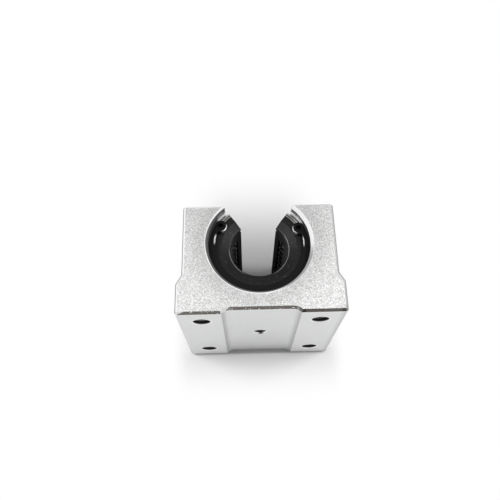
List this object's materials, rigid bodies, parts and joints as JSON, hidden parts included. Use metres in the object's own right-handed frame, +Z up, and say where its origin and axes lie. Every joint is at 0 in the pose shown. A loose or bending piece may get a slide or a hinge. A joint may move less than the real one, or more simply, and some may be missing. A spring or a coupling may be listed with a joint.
{
  "type": "open linear bearing block",
  "caption": "Open linear bearing block with a slotted ball bearing insert held by circlips in a flanged aluminium housing for a rail-supported shaft.",
  "frame": {"origin": "on the shaft axis at mid-length of the block", "axes": "+Z up along the shaft axis with the block standing on an end face, -Y towards the mounting face, +Y out of the slot for the support rail, X across the block"},
  "size_m": [0.045, 0.0315, 0.045],
  "materials": {
    "sandblasted_aluminium": "sandblasted and clear anodised",
    "bearing_steel": "ground",
    "black_spring_steel": "phosphated black, oiled",
    "polished_steel": "polished",
    "black_nylon": "moulded",
    "black_rubber": "moulded, slightly oily"
  },
  "bodies": {
    "root": {"housing": "sandblasted_aluminium", "bearing_sleeve": "bearing_steel", "ball_cage": "black_nylon", "loaded_balls_near_right": "polished_steel", "return_balls_near_right": "polished_steel", "loaded_balls_near_left": "polished_steel", "return_balls_near_left": "polished_steel", "loaded_balls_far_right": "polished_steel", "return_balls_far_right": "polished_steel", "loaded_balls_far_left": "polished_steel", "return_balls_far_left": "polished_steel", "upper_snap_ring": "bearing_steel", "lower_snap_ring": "bearing_steel", "upper_seal": "black_rubber", "lower_seal": "black_rubber", "upper_circlip": "black_spring_steel", "lower_circlip": "black_spring_steel"}
  },
  "joints": []
}
